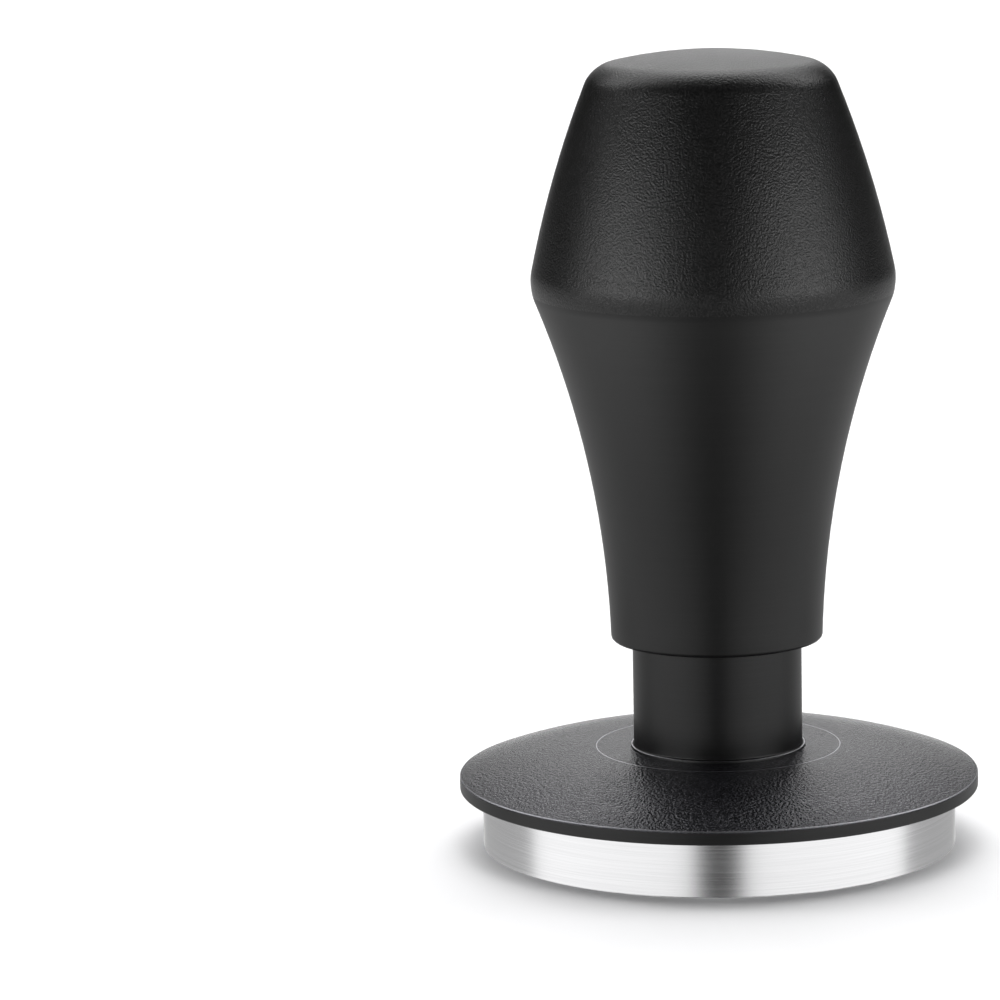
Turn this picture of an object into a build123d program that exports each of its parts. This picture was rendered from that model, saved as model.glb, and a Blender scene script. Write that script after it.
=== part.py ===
from build123d import *

import os

# Espresso tamper with a sprung grip and a sprung levelling plate, in millimetres.
# It stands upright on its tamping face: +Z is the axis of turning, and the origin is the
# centre of the circle on which the rim of the base rests. Threads are plain cylinders.

# ---- driving dimensions -------------------------------------------------------------------

# base, with a rippled tamping face that fits a standard 58 mm basket
base_radius = 58.35 / 2
base_top = 7.35
base_edge = 0.1
base_top_edge = 0.3
ripple_count = 12  # rings out to the rim, the last one being the rim itself
ripple_depth = 0.7
ripple_half_width = 0.5
tip_radius = 1.3
rim_land = 0.4

# levelling plate, which rests on the basket's rim
plate_radius = 32.0
plate_underside = 7.05
plate_rim = 1.65
plate_edge = 0.25
plate_recess_radius = base_radius + 0.325
plate_recess_ceiling = base_top + 0.05
plate_hub_radius = 15.0
plate_hub_top = 12.0
plate_flare_radius = 50.0
plate_bore = 10.0

# neck sleeve, screwed into the plate
neck_radius = 10.4
neck_inner = 9.2
neck_tail_bottom = 8.4
neck_top = 36.0
neck_collar_radius = neck_radius + 0.35
neck_collar = 0.25
neck_foot_fillet = 0.2

# grip
skirt_radius = 13.0
skirt_bottom = 25.5
skirt_edge = 0.5
flare_radius = 120.0
ridge_radius = 22.46  # where the flare and the cone would meet, before the ridge is rounded
ridge_height = 69.3
ridge_rounding = 6.0
cone_radius = 133.0
shoulder_radius = 14.5  # where the cone and the dome would meet, before rounding
shoulder_height = 95.9
shoulder_rounding = 4.5
grip_top = 97.8
grip_bore = 10.6
grip_bore_top = 80.0
mouth_edge = 0.2

# centre shaft: a stem with a piston head, bored from below
stem_radius = 7.0
stem_bore = 5.0
web_bottom = 48.0
piston_bottom = 44.5
piston_top = 54.0
piston_radius = 10.4
groove_radius = 9.6
groove_bottom = 47.5
groove_top = 51.0
foot_rebate = 1.0

# fits
running_fit = 0.05
loose_fit = 0.3

# M5 cap screw up into the grip, with its washers and its insert
screw_radius = 2.5
screw_length = 45.0
screw_head_radius = 4.25
screw_head = 5.0
screw_socket = 4.0
screw_socket_depth = 2.5
buffer_thickness = 1.0
washer_thickness = 0.6
insert_radius = 3.6
insert_length = 10.0
insert_recess = 1.0

# M10 stud that holds the base on the shaft
stud_bottom = 2.3
stud_length = 15.0
stud_socket = 5.0
stud_socket_depth = 4.0

# main spring, its seats and the tube that ends the stroke
grip_stroke = 6.0
main_wire = 2.0
main_mean_radius = 8.2
main_turns = 7
seat_thickness = 1.0
seat_radius = 10.2
stop_radius = 4.8
stop_slack = 0.1

# levelling spring and its seat
level_wire = 0.9
level_mean_radius = 8.1
level_turns = 8
level_seat_thickness = 0.5
bush_flange_radius = 9.9
bush_flange_bottom = 7.5
bush_top = 15.0

# bush in the skirt of the grip
skirt_bush_radius = 11.6
skirt_bush_bottom = 26.0
skirt_bush_top = 34.0
small_chamfer = 0.15

# ---- shapes used more than once -----------------------------------------------------------


def turned(edges):
    """A solid turned about Z from a closed outline of (radius, height) edges."""
    return revolve(Plane.XZ * make_face(edges), Axis.Z)


def tube(inner, outer, bottom, top, chamfer_size=0.0):
    """A plain ring or tube, with its four edges broken if chamfer_size is given."""
    corners = Polyline((inner, bottom), (outer, bottom), (outer, top), (inner, top), close=True)
    section = make_face(corners)
    if chamfer_size:
        section = chamfer(section.vertices(), chamfer_size)
    return revolve(Plane.XZ * section, Axis.Z)


def rod(radius, bottom, top, chamfer_size):
    """A solid bar on the axis, with both ends broken."""
    bar = Pos(0, 0, bottom) * Cylinder(radius, top - bottom, align=(Align.CENTER, Align.CENTER, Align.MIN))
    return chamfer(bar.edges().filter_by(GeomType.CIRCLE), chamfer_size)


def hex_socket(across_flats, opening, depth):
    """The space of a hexagon socket that runs up from height opening by depth."""
    hexagon = RegularPolygon(across_flats / 2, 6, major_radius=False)
    return Pos(0, 0, opening) * extrude(hexagon, depth)


def coil(mean_radius, wire, turns, bottom, top):
    """A compression spring with both ends ground flat on its seats."""
    path = Pos(0, 0, bottom) * Helix((top - bottom) / turns, top - bottom, mean_radius)
    section = Plane(path @ 0, z_dir=path % 0) * Circle(wire / 2)
    spring = sweep(section, path, is_frenet=True)
    between_seats = Pos(0, 0, bottom) * Cylinder(
        mean_radius + 2 * wire, top - bottom, align=(Align.CENTER, Align.CENTER, Align.MIN)
    )
    return spring & between_seats


def circles_at(solid, height):
    """The circular edges of a turned solid that lie at one height."""
    circles = solid.edges().filter_by(GeomType.CIRCLE)
    return circles.filter_by_position(Axis.Z, height - 0.01, height + 0.01)


# ---- base ---------------------------------------------------------------------------------


def ripple_edges():
    """The tamping face from its centre tip out to the land on the rim."""
    pitch = base_radius / ripple_count
    edges = [TangentArc((0, 0), (tip_radius, ripple_depth), tangent=(1, 0))]
    floor_start = tip_radius
    for ring in range(1, ripple_count):
        crest = ring * pitch
        left, right = crest - ripple_half_width, crest + ripple_half_width
        edges.append(Line((floor_start, ripple_depth), (left, ripple_depth)))
        edges.append(ThreePointArc((left, ripple_depth), (crest, 0), (right, ripple_depth)))
        floor_start = right
    land_inner = base_radius - base_edge - rim_land
    rim_foot = land_inner - ripple_half_width
    edges.append(Line((floor_start, ripple_depth), (rim_foot, ripple_depth)))
    edges.append(TangentArc((land_inner, 0), (rim_foot, ripple_depth), tangent=(-1, 0)))
    edges.append(Line((land_inner, 0), (base_radius - base_edge, 0)))
    return edges


def tamper_base():
    """Stainless disc: rippled below, turned wall, flat top with a blind tapped hole."""
    body = Polyline(
        (base_radius - base_edge, 0),
        (base_radius, base_edge),
        (base_radius, base_top - base_top_edge),
        (base_radius - base_top_edge, base_top),
        (stem_bore, base_top),
        (stem_bore, stud_bottom),
        (0, stud_bottom),
        (0, 0),
    )
    return turned(ripple_edges() + body.edges())


def base_stud():
    """Set screw, half in the base and half in the shaft, with a hexagon socket on top."""
    top = stud_bottom + stud_length
    stud = rod(stem_bore, stud_bottom, top, 0.5)
    return stud - hex_socket(stud_socket, top - stud_socket_depth, stud_socket_depth)


def base_o_ring():
    """Rubber ring in the rebate at the shaft's foot, squeezed on top of the base."""
    section_radius = foot_rebate / 2
    mean_radius = stem_radius - section_radius
    return Pos(0, 0, base_top + section_radius) * Torus(mean_radius, section_radius - 0.01)


# ---- centre shaft and what sits on it -----------------------------------------------------


def centre_shaft():
    """Hollow stem with a piston head: the web across its bore carries the main spring."""
    screw_hole = screw_radius + loose_fit
    outline = Polyline(
        (stem_bore, base_top),
        (stem_radius - foot_rebate, base_top),
        (stem_radius - foot_rebate, base_top + foot_rebate),
        (stem_radius, base_top + foot_rebate),
        (stem_radius, piston_bottom),
        (piston_radius, piston_bottom),
        (piston_radius, groove_bottom),
        (groove_radius, groove_bottom),
        (groove_radius, groove_top),
        (piston_radius, groove_top),
        (piston_radius, piston_top),
        (screw_hole, piston_top),
        (screw_hole, web_bottom),
        (stem_bore, web_bottom),
        close=True,
    )
    shaft = turned(outline.edges())
    piston_rims = circles_at(shaft, piston_top) + circles_at(shaft, piston_bottom)
    outer_rims = piston_rims.filter_by(lambda edge: abs(edge.radius - piston_radius) < 0.01)
    return chamfer(outer_rims, 0.4)


def piston_wear_ring():
    """Low-friction ring in the piston's groove, with a running fit in the grip's bore."""
    return tube(groove_radius, grip_bore - running_fit, groove_bottom, groove_top, small_chamfer)


def lower_spring_seat():
    """Washer on the piston, under the main spring."""
    inner = screw_radius + loose_fit
    return tube(inner, piston_radius - loose_fit, piston_top, piston_top + seat_thickness, small_chamfer)


def main_spring():
    """Heavy spring between the two seats; it sets the tamping force."""
    bottom = piston_top + seat_thickness
    top = grip_bore_top - seat_thickness
    return coil(main_mean_radius, main_wire, main_turns, bottom, top)


def travel_stop_sleeve():
    """Tube inside the main spring that meets the upper seat at the end of the stroke."""
    bottom = piston_top + seat_thickness
    top = grip_bore_top - seat_thickness - grip_stroke - stop_slack
    return tube(screw_radius + loose_fit, stop_radius, bottom, top, small_chamfer)


def levelling_spring():
    """Light spring around the stem, from the piston down to its seat on the plate's bush."""
    bottom = bush_top + level_seat_thickness
    return coil(level_mean_radius, level_wire, level_turns, bottom, piston_bottom)


# ---- washers between a spring and what turns on it ----------------------------------------


def upper_spring_seat():
    """Thrust washer over the main spring, on which the grip turns."""
    bottom = grip_bore_top - seat_thickness
    return tube(screw_radius + loose_fit, seat_radius, bottom, grip_bore_top, small_chamfer)


def levelling_spring_seat():
    """Washer under the levelling spring, on which the plate turns."""
    top = bush_top + level_seat_thickness
    return tube(stem_radius + 0.2, neck_inner - 0.2, bush_top, top)


# ---- grip ---------------------------------------------------------------------------------


def dome_radius():
    """Radius of the sphere through the shoulder's circle and the top of the grip."""
    rise = grip_top - shoulder_height
    return (shoulder_radius**2 + rise**2) / (2 * rise)


def handle_body():
    """One-piece turned grip: skirt, flare, rounded ridge, cone and domed top."""
    skirt = (skirt_radius, skirt_bottom)
    ridge = (ridge_radius, ridge_height)
    shoulder = (shoulder_radius, shoulder_height)
    drill_point = grip_bore_top + insert_recess + insert_length + 2.5
    outer = [
        RadiusArc(skirt, ridge, flare_radius),
        RadiusArc(ridge, shoulder, -cone_radius),
        RadiusArc(shoulder, (0, grip_top), -dome_radius()),
    ]
    inner = Polyline(
        (0, grip_top),
        (0, drill_point),
        (insert_radius, drill_point - 1.5),
        (insert_radius, grip_bore_top),
        (grip_bore, grip_bore_top),
        (grip_bore, skirt_bush_top),
        (skirt_bush_radius, skirt_bush_top),
        (skirt_bush_radius, skirt_bottom),
        skirt,
    )
    grip = turned(outer + inner.edges())
    grip = fillet(circles_at(grip, ridge_height), ridge_rounding)
    grip = fillet(circles_at(grip, shoulder_height), shoulder_rounding)
    mouth = circles_at(grip, skirt_bottom).sort_by(SortBy.RADIUS)
    grip = fillet(mouth[-1], skirt_edge)
    return chamfer(circles_at(grip, skirt_bottom).sort_by(SortBy.RADIUS)[0], mouth_edge)


def handle_insert():
    """Threaded insert in the grip's crown that takes the screw."""
    bottom = grip_bore_top + insert_recess
    return tube(screw_radius, insert_radius, bottom, bottom + insert_length)


def handle_bolt():
    """Cap screw up through the shaft's web; its head holds the grip down on the spring."""
    head_top = web_bottom - buffer_thickness - washer_thickness
    head_bottom = head_top - screw_head
    head = rod(screw_head_radius, head_bottom, head_top, 0.3)
    shank = rod(screw_radius, head_top - 1, head_top + screw_length, 0.4)
    return head + shank - hex_socket(screw_socket, head_bottom, screw_socket_depth)


def bolt_washer():
    """Steel washer on the screw's head."""
    top = web_bottom - buffer_thickness
    return tube(screw_radius + 0.15, screw_head_radius + 0.35, top - washer_thickness, top)


def bolt_buffer():
    """Rubber washer that meets the shaft's web when the grip springs back."""
    bottom = web_bottom - buffer_thickness
    return tube(screw_radius + 0.15, screw_head_radius + 0.25, bottom, web_bottom)


def skirt_bush():
    """Low-friction bush pressed into the skirt, in which the neck slides."""
    inner = neck_radius + running_fit
    return tube(inner, skirt_bush_radius, skirt_bush_bottom, skirt_bush_top, small_chamfer)


# ---- levelling plate ----------------------------------------------------------------------


def levelling_plate():
    """Disc with a flat hub, a concave flare, a thin rim and a shallow recess for the base."""
    rim_top = plate_underside + plate_rim
    flare = RadiusArc(
        (plate_radius - plate_edge, rim_top), (plate_hub_radius, plate_hub_top), plate_flare_radius
    )
    rest = Polyline(
        (plate_hub_radius, plate_hub_top),
        (plate_bore, plate_hub_top),
        (plate_bore, plate_recess_ceiling),
        (plate_recess_radius, plate_recess_ceiling),
        (plate_recess_radius, plate_underside),
        (plate_radius - plate_edge, plate_underside),
        (plate_radius, plate_underside + plate_edge),
        (plate_radius, rim_top - plate_edge),
        (plate_radius - plate_edge, rim_top),
    )
    return turned([flare] + rest.edges())


def neck_sleeve():
    """Tube with a foot collar on the plate's hub and a threaded tail down into it."""
    collar_top = plate_hub_top + neck_collar
    outline = Polyline(
        (neck_inner, neck_tail_bottom),
        (plate_bore, neck_tail_bottom),
        (plate_bore, plate_hub_top),
        (neck_collar_radius, plate_hub_top),
        (neck_collar_radius, collar_top),
        (neck_radius + neck_foot_fillet, collar_top),
        (neck_radius, collar_top + neck_foot_fillet),
        (neck_radius, neck_top - 0.5),
        (neck_radius - 0.5, neck_top),
        (neck_inner, neck_top),
        close=True,
    )
    return turned(outline.edges())


def plate_bush():
    """Flanged low-friction bush, pressed into the sleeve from below, that slides on the stem."""
    inner = stem_radius + running_fit
    outline = Polyline(
        (inner, bush_flange_bottom),
        (bush_flange_radius, bush_flange_bottom),
        (bush_flange_radius, neck_tail_bottom),
        (neck_inner, neck_tail_bottom),
        (neck_inner, bush_top),
        (inner, bush_top),
        close=True,
    )
    return turned(outline.edges())


# ---- output -------------------------------------------------------------------------------

sub_parts = [
    tamper_base,
    base_stud,
    base_o_ring,
    centre_shaft,
    piston_wear_ring,
    lower_spring_seat,
    main_spring,
    travel_stop_sleeve,
    levelling_spring,
    upper_spring_seat,
    levelling_spring_seat,
    handle_body,
    handle_insert,
    handle_bolt,
    bolt_washer,
    bolt_buffer,
    skirt_bush,
    levelling_plate,
    neck_sleeve,
    plate_bush,
]

os.makedirs("parts", exist_ok=True)
for make in sub_parts:
    shape = make()
    export_step(shape, f"parts/{make.__name__}.step")
    print(f"{make.__name__}: {shape.volume:.1f} mm3")
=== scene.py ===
import math

import bmesh
import bpy
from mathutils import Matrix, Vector


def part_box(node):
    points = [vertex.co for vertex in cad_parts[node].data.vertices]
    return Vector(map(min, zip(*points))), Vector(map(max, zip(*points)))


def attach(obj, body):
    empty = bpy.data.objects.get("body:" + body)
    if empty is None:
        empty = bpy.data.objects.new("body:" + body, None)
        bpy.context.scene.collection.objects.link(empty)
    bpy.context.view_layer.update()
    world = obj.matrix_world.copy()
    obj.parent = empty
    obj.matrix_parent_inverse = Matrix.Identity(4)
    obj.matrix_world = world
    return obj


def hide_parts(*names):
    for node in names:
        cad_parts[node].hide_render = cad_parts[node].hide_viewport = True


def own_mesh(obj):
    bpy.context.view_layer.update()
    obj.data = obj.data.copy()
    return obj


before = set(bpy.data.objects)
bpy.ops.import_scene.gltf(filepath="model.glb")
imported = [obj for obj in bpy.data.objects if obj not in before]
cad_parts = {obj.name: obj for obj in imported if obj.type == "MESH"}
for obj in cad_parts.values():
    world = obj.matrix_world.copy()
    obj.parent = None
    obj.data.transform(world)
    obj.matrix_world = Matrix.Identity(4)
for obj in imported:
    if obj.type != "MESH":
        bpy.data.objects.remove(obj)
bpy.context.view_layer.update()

# Sprung espresso tamper standing on its rippled steel base, built in metres round the CAD frame.
# Sizes in the dictionaries are millimetres; heights and outer radii come from the CAD boxes.

mm = 0.001
roundSteps = 192  # faces round a large turned piece
smallSteps = 96  # faces round a small inner one
screwSteps = 48  # faces round a threaded one
sharpAngle = 30  # degrees; an edge that turns more than this stays sharp
weldGap = 0.001  # points nearer than this are one
poleGap = 0.002  # the same after the spin
largeCorner = 0.6  # a corner set back this far or more is rounded with more faces
overshoot = 0.5  # how far a cutter stands out of the face that it opens
nearby = 0.05  # a face this near a place counts as being at it
beyond = 100.0  # past every radius and height


def heights(node):
    low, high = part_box(node)
    return low.z / mm, high.z / mm


def radiusOf(node):
    low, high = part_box(node)
    return (high.x - low.x) / 2 / mm


def pieceName(node):
    words = node.split("_")
    return words[0] + "".join(word.title() for word in words[1:])


def arcBetween(start, end, radius, cuts, side=1):
    # points between start and end on a circle of that radius; side -1 hollows the other way
    a, b = Vector(start), Vector(end)
    chord = b - a
    across = Vector((chord.y, -chord.x)).normalized()
    centre = (a + b) / 2 - side * across * math.sqrt(radius ** 2 - (chord.length / 2) ** 2)
    first = math.atan2(a.y - centre.y, a.x - centre.x)
    turn = math.atan2(b.y - centre.y, b.x - centre.x) - first
    turn = (turn + math.pi) % (2 * math.pi) - math.pi
    angles = [first + turn * i / cuts for i in range(1, cuts)]
    return [(centre.x + radius * math.cos(t), centre.y + radius * math.sin(t)) for t in angles]


def drawOutline(name, outline):
    # a plane merged to one vertex, then pulled along the outline as (radius, height); a third
    # number rounds that corner, setting the rounding back by so much
    bpy.ops.object.select_all(action="DESELECT")
    first = outline[0]
    bpy.ops.mesh.primitive_plane_add(size=mm, location=(first[0] * mm, 0, first[1] * mm))
    piece = bpy.context.active_object
    piece.name = piece.data.name = name
    bpy.ops.object.mode_set(mode="EDIT")
    bpy.ops.mesh.merge(type="CENTER")
    for here, there in zip(outline, outline[1:]):
        step = ((there[0] - here[0]) * mm, 0, (there[1] - here[1]) * mm)
        bpy.ops.mesh.extrude_vertices_move(TRANSFORM_OT_translate={"value": step})
    bpy.ops.mesh.select_all(action="SELECT")
    bpy.ops.mesh.remove_doubles(threshold=weldGap * mm)
    for corner in outline:
        if len(corner) > 2:
            roundCorner(piece, first, corner)
    return piece


def roundCorner(piece, first, corner):
    bpy.ops.mesh.select_all(action="DESELECT")
    mesh = bmesh.from_edit_mesh(piece.data)
    place = Vector(((corner[0] - first[0]) * mm, 0, (corner[1] - first[1]) * mm))
    nearest = min(mesh.verts, key=lambda v: (v.co - place).length)
    nearest.select = True
    bmesh.update_edit_mesh(piece.data)
    segments = 3 if corner[2] < largeCorner else 8
    bpy.ops.mesh.bevel(offset=corner[2] * mm, segments=segments, affect="VERTICES", profile=0.5)


def lathe(name, outline, steps=roundSteps):
    piece = drawOutline(name, outline)
    bpy.ops.mesh.select_all(action="SELECT")
    bpy.ops.mesh.spin(steps=steps, angle=2 * math.pi, center=(0, 0, 0), axis=(0, 0, 1))
    bpy.ops.mesh.select_all(action="SELECT")
    bpy.ops.mesh.remove_doubles(threshold=poleGap * mm)
    bpy.ops.mesh.normals_make_consistent(inside=False)
    bpy.ops.object.mode_set(mode="OBJECT")
    bpy.ops.object.transform_apply(location=True, rotation=True, scale=True)
    bpy.ops.object.shade_smooth_by_angle(angle=math.radians(sharpAngle))
    # long faces keep their own direction beside the small ones of a rounded edge
    weighted = piece.modifiers.new("weighted", "WEIGHTED_NORMAL")
    weighted.keep_sharp = True
    bpy.ops.object.modifier_apply(modifier=weighted.name)
    return piece


def paintRing(piece, finish, inner, outer, bottom, top):
    # gives the faces between those radii and heights a second finish
    piece.data.materials.append(finish)
    second = len(piece.data.materials) - 1
    for face in piece.data.polygons:
        r, z = math.hypot(face.center.x, face.center.y) / mm, face.center.z / mm
        if inner < r < outer and bottom < z < top:
            face.material_index = second


def settle(piece, finish, slot, body, *nodes):
    # finish, the record's slot (not used), the body it moves with and the CAD nodes it stands for
    piece.data.materials.clear()
    piece.data.materials.append(finish)
    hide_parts(*nodes)
    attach(piece, body)


def hexColour(value):
    channels = []
    for i in (0, 2, 4):
        c = int(value[i:i + 2], 16) / 255
        channels.append(c / 12.92 if c <= 0.04045 else ((c + 0.055) / 1.055) ** 2.4)
    return (*channels, 1)


def addNode(tree, kind, settings, *links):
    # settings name an attribute or a socket; each link is (socket name or number, source)
    node = tree.nodes.new(kind)
    for name, value in settings.items():
        if isinstance(name, str) and hasattr(node, name):
            setattr(node, name, value)
        else:
            node.inputs[name].default_value = value
    for socket, source in links:
        tree.links.new(source, node.inputs[socket])
    return node


toneEnds = (0.35, 0.65)  # where the grain's noise reaches its two colours
glossEnds = (0.3, 0.7)  # where a noise reaches the two ends of the roughness
plainDepth = 0.02  # relief of a finish that gives none


def grainedFinish(name, look):
    # One grain drives tone, gloss and relief. "rings" wraps it round the axis, as a lathe
    # tool leaves it; with "cloud" the gloss drifts instead, over that many millimetres.
    finish = bpy.data.materials.new(name)
    finish.use_nodes = True
    tree = finish.node_tree
    tree.nodes.clear()
    coords = addNode(tree, "ShaderNodeTexCoord", {})
    scaled = addNode(tree, "ShaderNodeMapping", {"Scale": (1 / mm, 1 / mm, 1 / mm)},
                     ("Vector", coords.outputs["Object"]))
    where = scaled.outputs["Vector"]
    if look.get("rings"):
        parts = addNode(tree, "ShaderNodeSeparateXYZ", {}, ("Vector", where))
        level = addNode(tree, "ShaderNodeCombineXYZ", {}, ("X", parts.outputs["X"]),
                        ("Y", parts.outputs["Y"]))
        radius = addNode(tree, "ShaderNodeVectorMath", {"operation": "LENGTH"},
                         (0, level.outputs["Vector"]))
        drift = addNode(tree, "ShaderNodeMath", {"operation": "MULTIPLY", 1: look["rings"]},
                        (0, parts.outputs["X"]))
        wound = addNode(tree, "ShaderNodeCombineXYZ", {}, ("X", radius.outputs["Value"]),
                        ("Y", parts.outputs["Z"]), ("Z", drift.outputs["Value"]))
        where = wound.outputs["Vector"]
    grain = addNode(tree, "ShaderNodeTexNoise",
                    {"Scale": 1 / look["grain"], "Detail": look.get("detail", 2.0)},
                    ("Vector", where))
    tone = addNode(tree, "ShaderNodeValToRGB", {}, ("Fac", grain.outputs["Fac"]))
    for stop, colour, position in zip(tone.color_ramp.elements, look["colours"], toneEnds):
        stop.color, stop.position = hexColour(colour), position
    slow = grain
    if look.get("cloud"):
        slow = addNode(tree, "ShaderNodeTexNoise", {"Scale": 1 / look["cloud"], "Detail": 1.0},
                       ("Vector", scaled.outputs["Vector"]))
    gloss = addNode(tree, "ShaderNodeMapRange",
                    {"From Min": glossEnds[0], "From Max": glossEnds[1],
                     "To Min": look["rough"][0], "To Max": look["rough"][1]},
                    ("Value", slow.outputs["Fac"]))
    relief = addNode(tree, "ShaderNodeBump",
                     {"Strength": look["bump"], "Distance": look.get("depth", plainDepth) * mm},
                     ("Height", grain.outputs["Fac"]))
    shader = addNode(tree, "ShaderNodeBsdfPrincipled", look["shader"],
                     ("Base Color", tone.outputs["Color"]), ("Roughness", gloss.outputs["Result"]),
                     ("Normal", relief.outputs["Normal"]))
    if "Anisotropic" in look["shader"]:
        wrapped = addNode(tree, "ShaderNodeTangent", {"direction_type": "RADIAL", "axis": "Z"})
        tree.links.new(wrapped.outputs["Tangent"], shader.inputs["Tangent"])
    addNode(tree, "ShaderNodeOutputMaterial", {}, ("Surface", shader.outputs["BSDF"]))
    return finish


# Aluminium, bead-blasted and anodised black: dense black with a tight, dry sparkle. Blasting
# grit leaves dents near 0.1 mm, drawn at 0.25 mm on the grip and 0.34 mm on the plate so that
# they show.
gripBlack = grainedFinish("blastedBlackAnodisedGrip", {
    "colours": ("060606", "181818"), "grain": 0.25, "cloud": 14.0, "rough": (0.31, 0.35),
    "bump": 0.9, "depth": 0.08, "shader": {"IOR": 1.45}})
plateBlack = grainedFinish("blastedBlackAnodisedPlate", {
    "colours": ("040405", "2c2c30"), "grain": 0.34, "cloud": 11.0, "rough": (0.17, 0.21),
    "bump": 1.0, "depth": 0.19,
    "shader": {"IOR": 1.5, "Specular Tint": (0.91, 0.9, 1.0, 1)}})

# The same aluminium, fine turned before anodising: a smooth satin black.
flareBlack = grainedFinish("satinBlackAnodisedFlare", {
    "colours": ("0c0c0c", "0f0f0f"), "grain": 0.25, "rings": 0.02, "cloud": 16.0,
    "rough": (0.38, 0.41), "bump": 0.03, "depth": 0.01, "shader": {"IOR": 1.43}})
neckBlack = grainedFinish("turnedBlackAnodisedNeck", {
    "colours": ("0a0a0a", "101011"), "grain": 0.2, "rings": 0.02, "rough": (0.36, 0.4),
    "bump": 0.1, "depth": 0.01, "shader": {"IOR": 1.43}})

# Painted highlight: a half-bright bare-metal finish, painted on thin strips at the edges, stands
# in for the highlights those edges catch.
paintedEdgeHighlight = grainedFinish("paintedEdgeHighlightMetal", {
    "colours": ("98989d", "b2b2b6"), "grain": 0.3, "rings": 0.02, "rough": (0.4, 0.46),
    "bump": 0.05, "depth": 0.01, "shader": {"Metallic": 1.0}})

# Stainless steel off the lathe: bright, with hair-fine rings that stretch each reflection
# across themselves. Tool marks are near 0.05 mm and drawn at 0.14 mm.
baseSteel = grainedFinish("turnedStainlessBase", {
    "colours": ("c5c5c6", "cfcfd0"), "grain": 0.14, "detail": 4.0, "rings": 0.01,
    "rough": (0.18, 0.21), "bump": 0.03, "depth": 0.01,
    "shader": {"Metallic": 1.0, "Anisotropic": 0.7}})
shaftSteel = grainedFinish("groundStainlessShaft", {
    "colours": ("aeadac", "bcbbba"), "grain": 0.1, "detail": 4.0, "rings": 0.05,
    "rough": (0.22, 0.28), "bump": 0.05, "depth": 0.01,
    "shader": {"Metallic": 1.0, "Anisotropic": 0.5}})

# Inside: zinc plating is pale and cloudy, drawn spring wire a plain grey, brass warm and
# bright, rubber and acetal matt black, PTFE waxy white.
zincPlated = grainedFinish("zincPlatedSteel", {
    "colours": ("9b9ea3", "b9bcc0"), "grain": 0.6, "cloud": 3.0, "rough": (0.28, 0.36),
    "bump": 0.1, "shader": {"Metallic": 1.0}})
springWire = grainedFinish("drawnSpringSteel", {
    "colours": ("77797d", "929498"), "grain": 0.35, "rough": (0.3, 0.38), "bump": 0.15,
    "depth": 0.01, "shader": {"Metallic": 1.0}})
turnedBrass = grainedFinish("turnedBrass", {
    "colours": ("b58f3c", "cdab5c"), "grain": 0.15, "rings": 0.05, "rough": (0.24, 0.3),
    "bump": 0.08, "depth": 0.01, "shader": {"Metallic": 1.0}})
rubberBlack = grainedFinish("mouldedNitrileRubber", {
    "colours": ("101011", "191919"), "grain": 0.2, "rough": (0.65, 0.75), "bump": 0.2,
    "shader": {"IOR": 1.5}})
acetalBlack = grainedFinish("turnedBlackAcetal", {
    "colours": ("121213", "1b1b1c"), "grain": 0.15, "rings": 0.05, "rough": (0.42, 0.5),
    "bump": 0.1, "depth": 0.01, "shader": {"IOR": 1.48}})
ptfeWhite = grainedFinish("turnedWhitePtfe", {
    "colours": ("dcdcd8", "e9e9e5"), "grain": 0.2, "rings": 0.05, "rough": (0.4, 0.5),
    "bump": 0.1, "depth": 0.01,
    "shader": {"IOR": 1.38, "Subsurface Weight": 0.2, "Subsurface Scale": 0.0005}})
print("finishes ready:", len(bpy.data.materials))


grip = {
    "skirtRadius": 13.0, "skirtEdge": 0.5, "mouthEdge": 0.2,
    "flareRadius": 120.0, "flareCuts": 20,
    "ridgeRadius": 22.46, "ridgeHeight": 69.3, "ridgeSetBack": 1.84,
    "coneRadius": 133.0, "coneCuts": 12,
    "shoulderRadius": 14.5, "shoulderHeight": 95.9, "shoulderSetBack": 2.05,
    "domeCuts": 6,
    "bore": 10.6, "boreTop": 80.0, "boreEdge": 0.15, "bushSeatEdge": 0.1,
    "insertBore": 3.6, "insertBoreTop": 92.0, "drillPoint": 93.5,
    "satinTop": 68.2,  # the satin turned finish ends here, just under the ridge
}


def makeGrip():
    bottom, top = heights("handle_body")
    bushTop, bushRadius = heights("skirt_bush")[1], radiusOf("skirt_bush")
    skirt = (grip["skirtRadius"], bottom)
    ridge = (grip["ridgeRadius"], grip["ridgeHeight"])
    shoulder = (grip["shoulderRadius"], grip["shoulderHeight"])
    rise = top - grip["shoulderHeight"]
    domeRadius = (grip["shoulderRadius"] ** 2 + rise ** 2) / (2 * rise)
    outline = [(*skirt, grip["skirtEdge"])]
    outline += arcBetween(skirt, ridge, grip["flareRadius"], grip["flareCuts"], side=-1)
    outline += [(*ridge, grip["ridgeSetBack"])]
    outline += arcBetween(ridge, shoulder, grip["coneRadius"], grip["coneCuts"])
    outline += [(*shoulder, grip["shoulderSetBack"])]
    outline += arcBetween(shoulder, (0, top), domeRadius, grip["domeCuts"])
    bore, boreTop, boreEdge = grip["bore"], grip["boreTop"], grip["boreEdge"]
    outline += [
        (0, top), (0, grip["drillPoint"]),
        (grip["insertBore"], grip["insertBoreTop"]), (grip["insertBore"], boreTop, boreEdge),
        (bore, boreTop, boreEdge), (bore, bushTop, grip["bushSeatEdge"]),
        (bushRadius, bushTop), (bushRadius, bottom, grip["mouthEdge"]), skirt,
    ]
    piece = lathe("grip", outline)
    settle(piece, gripBlack, "black_anodised_grip", "handle", "handle_body")
    paintRing(piece, flareBlack, 0, beyond, -beyond, grip["satinTop"])


makeGrip()
print("grip turned")


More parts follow.
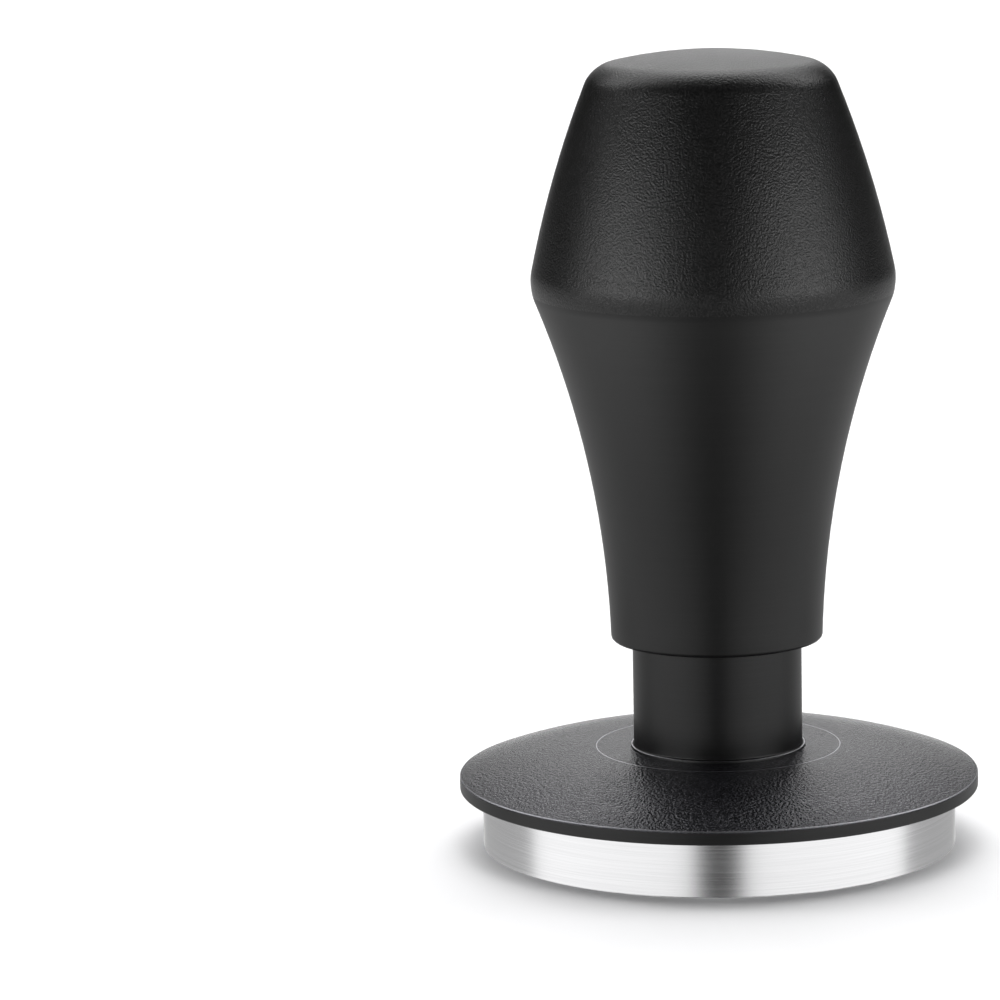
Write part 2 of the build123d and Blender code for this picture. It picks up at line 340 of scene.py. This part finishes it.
plate = {
    "rim": 1.65, "rimEdge": 0.16, "rimLand": 0.01,
    "hubRadius": 15.0, "hubEdge": 0.09, "hubHighlightWidth": 0.12,
    "flareRadius": 50.0, "flareCuts": 14,
    "bore": 10.0, "recessCeiling": 7.4, "recessRadius": 29.5, "innerEdge": 0.1,
    "highlightShare": 0.7,  # share of the rim's edge painted bright as a highlight
}


def makePlate():
    bottom, top = heights("levelling_plate")
    radius = radiusOf("levelling_plate")
    rimTop, edge, hub = bottom + plate["rim"], plate["rimEdge"], plate["hubRadius"]
    recess, ceiling = plate["recessRadius"], plate["recessCeiling"]
    bore, inner = plate["bore"], plate["innerEdge"]
    outline = [(hub, top, plate["hubEdge"])]
    outline += arcBetween((hub, top), (radius - plate["rimLand"], rimTop), plate["flareRadius"],
                          plate["flareCuts"], side=-1)
    outline += [
        (radius, rimTop, edge), (radius, bottom, edge),
        (recess, bottom, inner), (recess, ceiling),
        (bore, ceiling, inner), (bore, top, inner), (hub, top),
    ]
    piece = lathe("levellingPlate", outline)
    settle(piece, plateBlack, "black_anodised_plate", "plate", "levelling_plate")
    paintRing(piece, neckBlack, radius - nearby, beyond, -beyond, rimTop - edge)
    # painted highlight: the top of the rim's edge and a thin ring at the hub's crease get the
    # bright edge finish in place of the highlights they catch
    brightFrom, highlightWidth = rimTop - edge * plate["highlightShare"], plate["hubHighlightWidth"]
    paintRing(piece, paintedEdgeHighlight, radius - edge, beyond, brightFrom, rimTop + nearby)
    paintRing(piece, paintedEdgeHighlight, hub - highlightWidth, hub + highlightWidth, top - highlightWidth, top - weldGap)


neck = {
    "inner": 9.2, "tail": 10.0, "outer": 10.4,
    "collarThickness": 0.25, "collarEdge": 0.07, "footFillet": 0.2,
    "topEdge": 0.45, "innerEdge": 0.1,
}


def makeNeck():
    bottom, top = heights("neck_sleeve")
    foot, collar = heights("levelling_plate")[1], radiusOf("neck_sleeve")
    collarTop, fillet = foot + neck["collarThickness"], neck["footFillet"]
    outline = [
        (neck["inner"], bottom), (neck["tail"], bottom), (neck["tail"], foot), (collar, foot),
        (collar, collarTop, neck["collarEdge"]),
        (neck["outer"], collarTop, fillet), (neck["outer"], top, neck["topEdge"]),
        (neck["inner"], top, neck["innerEdge"]), (neck["inner"], bottom),
    ]
    piece = lathe("neckSleeve", outline)
    settle(piece, neckBlack, "black_anodised_neck", "plate", "neck_sleeve")
    # painted highlight: a bright ring on the collar's top edge in place of the highlight it
    # catches
    paintRing(piece, paintedEdgeHighlight, neck["outer"] + fillet, beyond,
              collarTop - nearby, collarTop + nearby)


makePlate()
makeNeck()
print("plate and neck turned")


base = {
    "rings": 12, "depth": 0.7, "crestHalfWidth": 0.5, "crestCuts": 3, "valleyEdge": 0.12,
    "tip": 1.3, "tipCuts": 5, "land": 0.4, "bottomEdge": 0.1, "topEdge": 0.3,
    "studBore": 5.0, "studBottom": 2.3,
    "steps": 240,
}


def makeBase():
    radius, top = radiusOf("tamper_base"), heights("tamper_base")[1]
    depth, half, valley = base["depth"], base["crestHalfWidth"], base["valleyEdge"]
    cuts = base["crestCuts"]
    pitch = radius / base["rings"]
    tipRadius = (base["tip"] ** 2 + depth ** 2) / (2 * depth)
    crestRadius = (half ** 2 + depth ** 2) / (2 * depth)
    outline = [(0, 0)]
    outline += arcBetween((0, 0), (base["tip"], depth), tipRadius, base["tipCuts"])
    outline += [(base["tip"], depth, valley)]
    for ring in range(1, base["rings"]):
        crest = ring * pitch
        outline += [(crest - half, depth, valley)]
        outline += arcBetween((crest - half, depth), (crest, 0), crestRadius, cuts)
        outline += [(crest, 0)]
        outline += arcBetween((crest, 0), (crest + half, depth), crestRadius, cuts)
        outline += [(crest + half, depth, valley)]
    land = radius - base["bottomEdge"] - base["land"]
    outline += [(land - half, depth, valley)]
    outline += arcBetween((land - half, depth), (land, 0), crestRadius, cuts)
    outline += [
        (land, 0), (radius, 0, base["bottomEdge"]), (radius, top, base["topEdge"]),
        (base["studBore"], top), (base["studBore"], base["studBottom"]), (0, base["studBottom"]),
    ]
    piece = lathe("rippledBase", outline, steps=base["steps"])
    settle(piece, baseSteel, "turned_stainless", "base", "tamper_base")


makeBase()
print("base turned")


shaft = {
    "stem": 7.0, "stemEdge": 0.1, "bore": 5.0, "rebate": 1.0,
    "screwHole": 2.8, "screwHoleEdge": 0.15, "webBottom": 48.0,
    "pistonBottom": 44.5, "pistonEdge": 0.4, "groove": 9.6,
}


def makeShaft():
    bottom, top = heights("centre_shaft")
    piston = radiusOf("centre_shaft")
    ringBottom, ringTop = heights("piston_wear_ring")
    stem, stemEdge, rebate = shaft["stem"], shaft["stemEdge"], shaft["rebate"]
    hole, holeEdge, web = shaft["screwHole"], shaft["screwHoleEdge"], shaft["webBottom"]
    edge, groove = shaft["pistonEdge"], shaft["groove"]
    outline = [
        (shaft["bore"], bottom), (stem - rebate, bottom),
        (stem - rebate, bottom + rebate), (stem, bottom + rebate, stemEdge),
        (stem, shaft["pistonBottom"], stemEdge), (piston, shaft["pistonBottom"], edge),
        (piston, ringBottom), (groove, ringBottom), (groove, ringTop), (piston, ringTop),
        (piston, top, edge), (hole, top, holeEdge), (hole, web, holeEdge),
        (shaft["bore"], web), (shaft["bore"], bottom),
    ]
    piece = lathe("centreShaft", outline, steps=smallSteps)
    settle(piece, shaftSteel, "turned_stainless_shaft", "base", "centre_shaft")


# washers, bushes and tubes: bore radius, broken edge, finish, slot and body of each
rings = {
    "skirt_bush": (10.45, 0.15, acetalBlack, "black_low_friction_plastic", "handle"),
    "piston_wear_ring": (9.6, 0.15, ptfeWhite, "white_low_friction_plastic", "base"),
    "travel_stop_sleeve": (2.8, 0.15, ptfeWhite, "white_low_friction_plastic", "base"),
    "lower_spring_seat": (2.8, 0.15, zincPlated, "zinc_plated_steel", "base"),
    "upper_spring_seat": (2.8, 0.15, zincPlated, "zinc_plated_steel", "spring_follower"),
    "levelling_spring_seat": (7.2, 0.08, zincPlated, "zinc_plated_steel", "plate_carrier"),
    "bolt_washer": (2.65, 0.08, zincPlated, "zinc_plated_steel", "handle"),
    "bolt_buffer": (2.65, 0.15, rubberBlack, "black_rubber", "handle"),
    "handle_insert": (2.5, 0.1, turnedBrass, "brass_insert", "handle"),
}


def makeRing(node, inner, edge, finish, slot, body):
    bottom, top = heights(node)
    outer, middle = radiusOf(node), (bottom + top) / 2
    outline = [(inner, middle), (inner, bottom, edge), (outer, bottom, edge),
               (outer, top, edge), (inner, top, edge), (inner, middle)]
    piece = lathe(pieceName(node), outline, steps=smallSteps)
    settle(piece, finish, slot, body, node)


plateBush = {"bore": 7.05, "body": 9.2, "flange": 0.9, "edge": 0.15}


def makePlateBush():
    bottom, top = heights("plate_bush")
    flange, edge = radiusOf("plate_bush"), plateBush["edge"]
    bore, body, step = plateBush["bore"], plateBush["body"], bottom + plateBush["flange"]
    outline = [
        (bore, bottom, edge), (flange, bottom, edge), (flange, step, edge),
        (body, step), (body, top, edge), (bore, top, edge), (bore, bottom),
    ]
    piece = lathe("plateBush", outline, steps=smallSteps)
    settle(piece, acetalBlack, "black_low_friction_plastic", "plate", "plate_bush")


# the ring is squeezed between base and shaft, so its top and bottom are a little flat
footRing = {"sectionSteps": 20, "flatFrom": 0.9, "squeeze": 0.97}


def makeOring():
    low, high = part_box("base_o_ring")
    section, middle = (high.z - low.z) / 2, (low.z + high.z) / 2
    bpy.ops.object.select_all(action="DESELECT")
    bpy.ops.mesh.primitive_torus_add(
        location=(0, 0, middle), major_segments=smallSteps,
        minor_segments=footRing["sectionSteps"], major_radius=high.x - section,
        minor_radius=section)
    piece = bpy.context.active_object
    piece.name = piece.data.name = "footRing"
    bpy.ops.object.mode_set(mode="EDIT")
    for side in (1, -1):
        bpy.ops.mesh.select_all(action="DESELECT")
        mesh = bmesh.from_edit_mesh(piece.data)
        for vertex in mesh.verts:
            vertex.select = vertex.co.z * side > section * footRing["flatFrom"]
        bmesh.update_edit_mesh(piece.data)
        bpy.ops.transform.resize(value=(1, 1, footRing["squeeze"]), center_override=(0, 0, middle))
    bpy.ops.object.mode_set(mode="OBJECT")
    bpy.ops.object.transform_apply(location=True, rotation=True, scale=True)
    bpy.ops.object.shade_smooth()
    settle(piece, rubberBlack, "black_rubber", "base", "base_o_ring")


threadShape = {"crestEnd": 0.2, "root": 0.6}  # shares of the pitch


def threadPoints(radius, depth, pitch, bottom, top):
    # the thread as close-set rings, crest to root and back
    points, z = [], bottom
    while z + pitch <= top:
        points += [(radius, z), (radius, z + pitch * threadShape["crestEnd"]),
                   (radius - depth, z + pitch * threadShape["root"])]
        z += pitch
    return points + [(radius, z)]


def cutHexagon(piece, acrossFlats, bottom, depth):
    bpy.ops.object.select_all(action="DESELECT")
    cornerRadius = acrossFlats / 2 / math.cos(math.pi / 6)
    bpy.ops.mesh.primitive_cylinder_add(
        vertices=6, radius=cornerRadius * mm, depth=depth * mm,
        location=(0, 0, (bottom + depth / 2) * mm))
    cutter = bpy.context.active_object
    bpy.ops.object.select_all(action="DESELECT")
    piece.select_set(True)
    bpy.context.view_layer.objects.active = piece
    cut = piece.modifiers.new("hexagon", "BOOLEAN")
    cut.operation, cut.solver, cut.object = "DIFFERENCE", "EXACT", cutter
    bpy.ops.object.modifier_apply(modifier=cut.name)
    bpy.data.objects.remove(cutter)
    bpy.ops.object.shade_smooth_by_angle(angle=math.radians(sharpAngle))


screw = {
    "shank": 2.5, "headHeight": 5.0, "headEdge": 0.3, "tipEdge": 0.4,
    "threadDepth": 0.35, "threadPitch": 0.8, "threadLength": 16.0,
    "socket": 4.0, "socketDepth": 2.5,
}


def makeScrew():
    bottom, top = heights("handle_bolt")
    head, neckHeight = radiusOf("handle_bolt"), bottom + screw["headHeight"]
    threadStart = top - screw["threadLength"]
    shank, edge, tip = screw["shank"], screw["headEdge"], screw["tipEdge"]
    outline = [(0, bottom), (head, bottom, edge), (head, neckHeight, edge), (shank, neckHeight)]
    outline += threadPoints(shank, screw["threadDepth"], screw["threadPitch"],
                            threadStart, top - tip)
    outline += [(shank - tip, top), (0, top)]
    piece = lathe("capScrew", outline, steps=screwSteps)
    cutHexagon(piece, screw["socket"], bottom - overshoot, screw["socketDepth"] + overshoot)
    settle(piece, zincPlated, "zinc_plated_steel", "handle", "handle_bolt")


stud = {
    "threadDepth": 0.55, "threadPitch": 1.5, "endEdge": 0.5,
    "socket": 5.0, "socketDepth": 4.0,
}


def makeStud():
    bottom, top = heights("base_stud")
    radius, edge = radiusOf("base_stud"), stud["endEdge"]
    outline = [(0, bottom), (radius - edge, bottom)]
    outline += threadPoints(radius, stud["threadDepth"], stud["threadPitch"],
                            bottom + edge, top - edge)
    outline += [(radius - edge, top), (0, top)]
    piece = lathe("baseStud", outline, steps=screwSteps)
    cutHexagon(piece, stud["socket"], top - stud["socketDepth"], stud["socketDepth"] + overshoot)
    settle(piece, zincPlated, "zinc_plated_steel", "base", "base_stud")


wireSteps, turnSteps = 20, 72  # faces round the wire and along one turn
wireAngle = 40  # degrees, as sharpAngle

# "keep" is the share of its length that a spring has left at full stroke
springs = {
    "main_spring": {"wire": 2.0, "mean": 8.2, "turns": 7, "joint": "handle_press", "keep": 0.75,
                    "fixed": "low"},
    "levelling_spring": {"wire": 0.9, "mean": 8.1, "turns": 8, "joint": "plate_lift",
                         "keep": 22 / 29, "fixed": "high"},
}


def makeSpring(node, coil):
    # a circle of wire wound up by the Screw modifier, then both ends ground flat
    bottom, top = heights(node)
    bpy.ops.object.select_all(action="DESELECT")
    bpy.ops.mesh.primitive_circle_add(
        vertices=wireSteps, radius=coil["wire"] / 2 * mm,
        location=(coil["mean"] * mm, 0, bottom * mm), rotation=(math.pi / 2, 0, 0))
    piece = bpy.context.active_object
    piece.name = piece.data.name = pieceName(node)
    bpy.ops.object.transform_apply(location=True, rotation=True, scale=True)
    wind = piece.modifiers.new("wind", "SCREW")
    wind.axis, wind.angle = "Z", 2 * math.pi * coil["turns"]
    wind.screw_offset = (top - bottom) * mm
    wind.steps = wind.render_steps = coil["turns"] * turnSteps
    bpy.ops.object.modifier_apply(modifier=wind.name)
    bpy.ops.object.mode_set(mode="EDIT")
    bpy.ops.mesh.select_all(action="SELECT")
    bpy.ops.mesh.remove_doubles(threshold=weldGap * mm)
    for z, above in ((bottom, False), (top, True)):
        bpy.ops.mesh.select_all(action="SELECT")
        bpy.ops.mesh.bisect(plane_co=(0, 0, z * mm), plane_no=(0, 0, 1), use_fill=True,
                            clear_inner=not above, clear_outer=above)
    bpy.ops.mesh.select_all(action="DESELECT")
    bpy.ops.mesh.select_non_manifold()
    bpy.ops.mesh.fill_holes(sides=0)
    bpy.ops.mesh.select_all(action="SELECT")
    bpy.ops.mesh.normals_make_consistent(inside=False)
    bpy.ops.object.mode_set(mode="OBJECT")
    bpy.ops.object.shade_smooth_by_angle(angle=math.radians(wireAngle))
    settle(piece, springWire, "spring_steel", "base", node)
    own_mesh(piece)


makeShaft()
for node, sizes in rings.items():
    makeRing(node, *sizes)
makePlateBush()
makeOring()
makeScrew()
makeStud()
for node, coil in springs.items():
    makeSpring(node, coil)
print("inner parts turned, threaded and wound")


# Floor, room and camera. The room is dark with pools of soft light, each the same on both
# sides: (from, to, softness) in degrees round from the camera and up from the horizon. The
# floor is "floorSize" metres wide; "wash" is a wide, soft sun that lights it alone.
studio = {
    "floorSize": 8.0, "floorDrop": 0.02, "floorColour": "f6f6f7", "floorRough": 0.9,
    "wash": 1.8, "washSpread": 55, "washTurn": 180, "washLift": 74,
    "pools": {
        "sideStrips": {"round": (30, 86, 17), "up": (4.5, 14.5, 3), "glow": 7.4},
        "tableGlow": {"round": (11, 102, 3.5), "up": (-18, -9, 5.5), "glow": 1.85},
        "paperBehind": {"round": (103, 200, 4), "up": (-26, -4, 5), "glow": 0.55},
        "fromBelow": {"round": (35, 140, 40), "up": (-104, -31, 20), "glow": 1.6},
        "overheadSides": {"round": (109, 135, 3.5), "up": (28, 68, 5), "glow": 3.3},
        "overheadBack": {"round": (146, 200, 6), "up": (32, 80, 5), "glow": 2.8},
        "backStrip": {"round": (172, 200, 6), "up": (15, 21, 3), "glow": 3.1},
        "behind": {"round": (166, 200, 6), "up": (-29, 17, 5), "glow": 0.62},
    },
}


def softEdges(tree, angle, limits):
    # 1 between the two limits and 0 outside, eased over the softness
    start, end, soft = (math.radians(v) for v in limits)
    rising = addNode(tree, "ShaderNodeMapRange",
                     {"interpolation_type": "SMOOTHSTEP", "From Min": start - soft,
                      "From Max": start + soft}, ("Value", angle))
    falling = addNode(tree, "ShaderNodeMapRange",
                      {"interpolation_type": "SMOOTHSTEP", "From Min": end - soft,
                       "From Max": end + soft, "To Min": 1.0, "To Max": 0.0}, ("Value", angle))
    both = addNode(tree, "ShaderNodeMath", {"operation": "MULTIPLY"},
                   (0, rising.outputs["Result"]), (1, falling.outputs["Result"]))
    return both.outputs["Value"]


def makeRoom():
    room = bpy.data.worlds.new("softboxRoom")
    bpy.context.scene.world = room
    room.use_nodes = True
    tree = room.node_tree
    tree.nodes.clear()
    coords = addNode(tree, "ShaderNodeTexCoord", {})
    parts = addNode(tree, "ShaderNodeSeparateXYZ", {}, ("Vector", coords.outputs["Generated"]))
    ahead = addNode(tree, "ShaderNodeMath", {"operation": "MULTIPLY", 1: -1.0},
                    (0, parts.outputs["Y"]))
    turn = addNode(tree, "ShaderNodeMath", {"operation": "ARCTAN2"},
                   (0, parts.outputs["X"]), (1, ahead.outputs["Value"]))
    either = addNode(tree, "ShaderNodeMath", {"operation": "ABSOLUTE"},
                     (0, turn.outputs["Value"]))
    lift = addNode(tree, "ShaderNodeMath", {"operation": "ARCSINE"}, (0, parts.outputs["Z"]))
    soFar = None
    for pool in studio["pools"].values():
        level = addNode(tree, "ShaderNodeMath", {"operation": "MULTIPLY"},
                        (0, softEdges(tree, either.outputs["Value"], pool["round"])),
                        (1, softEdges(tree, lift.outputs["Value"], pool["up"])))
        glow = addNode(tree, "ShaderNodeMath",
                       {"operation": "MULTIPLY_ADD", 1: pool["glow"], 2: 0.0},
                       (0, level.outputs["Value"]))
        if soFar:
            tree.links.new(soFar, glow.inputs[2])
        soFar = glow.outputs["Value"]
    light = addNode(tree, "ShaderNodeBackground", {"Color": (1, 1, 1, 1)}, ("Strength", soFar))
    backdrop = addNode(tree, "ShaderNodeBackground",
                       {"Color": (1, 1, 1, 1), "Strength": 1.0})  # what the camera sees
    path = addNode(tree, "ShaderNodeLightPath", {})
    mixed = addNode(tree, "ShaderNodeMixShader", {}, (0, path.outputs["Is Camera Ray"]),
                    (1, light.outputs["Background"]), (2, backdrop.outputs["Background"]))
    addNode(tree, "ShaderNodeOutputWorld", {}, ("Surface", mixed.outputs["Shader"]))


def makeFloor():
    bpy.ops.object.select_all(action="DESELECT")
    bpy.ops.mesh.primitive_plane_add(size=studio["floorSize"],
                                     location=(0, 0, -studio["floorDrop"] * mm))
    floor = bpy.context.active_object
    floor.name = "floor"
    paper = bpy.data.materials.new("whitePaperSweep")
    paper.use_nodes = True
    shader = paper.node_tree.nodes["Principled BSDF"]
    shader.inputs["Base Color"].default_value = hexColour(studio["floorColour"])
    shader.inputs["Roughness"].default_value = studio["floorRough"]
    shader.inputs["Specular IOR Level"].default_value = 0.0
    floor.data.materials.append(paper)
    floor.visible_glossy = floor.visible_shadow = False  # the pools stand for its reflection
    # the overhead wash, linked so that it lights only the paper
    bpy.ops.object.light_add(type="SUN")
    wash = bpy.context.active_object
    wash.name = "paperWash"
    wash.data.energy = studio["wash"]
    wash.data.angle = math.radians(studio["washSpread"])
    turn, lift = math.radians(studio["washTurn"]), math.radians(studio["washLift"])
    away = Vector((math.sin(turn) * math.cos(lift), -math.cos(turn) * math.cos(lift),
                   math.sin(lift)))
    wash.rotation_euler = away.to_track_quat("Z", "Y").to_euler()
    onlyFloor = bpy.data.collections.new("paperOnly")
    onlyFloor.objects.link(floor)
    wash.light_linking.receiver_collection = onlyFloor


camera = {
    "lens": 181.94, "sensor": 36.0, "clip": (0.05, 20),
    "distance": 610.0, "height": 152.7,
    "turn": 2.479, "tilt": 10.193, "roll": -1.084,
}


def makeCamera():
    bpy.ops.object.camera_add(location=(0, -camera["distance"] * mm, camera["height"] * mm))
    cam = bpy.context.active_object
    cam.rotation_euler = (math.radians(90 - camera["tilt"]), 0, math.radians(camera["turn"]))
    cam.rotation_euler.rotate_axis("Z", math.radians(camera["roll"]))
    cam.data.sensor_width, cam.data.lens = camera["sensor"], camera["lens"]
    cam.data.clip_start, cam.data.clip_end = camera["clip"]
    bpy.context.scene.camera = cam


makeRoom()
makeFloor()
makeCamera()
bpy.context.scene.view_settings.view_transform = "Standard"
print("stage set")
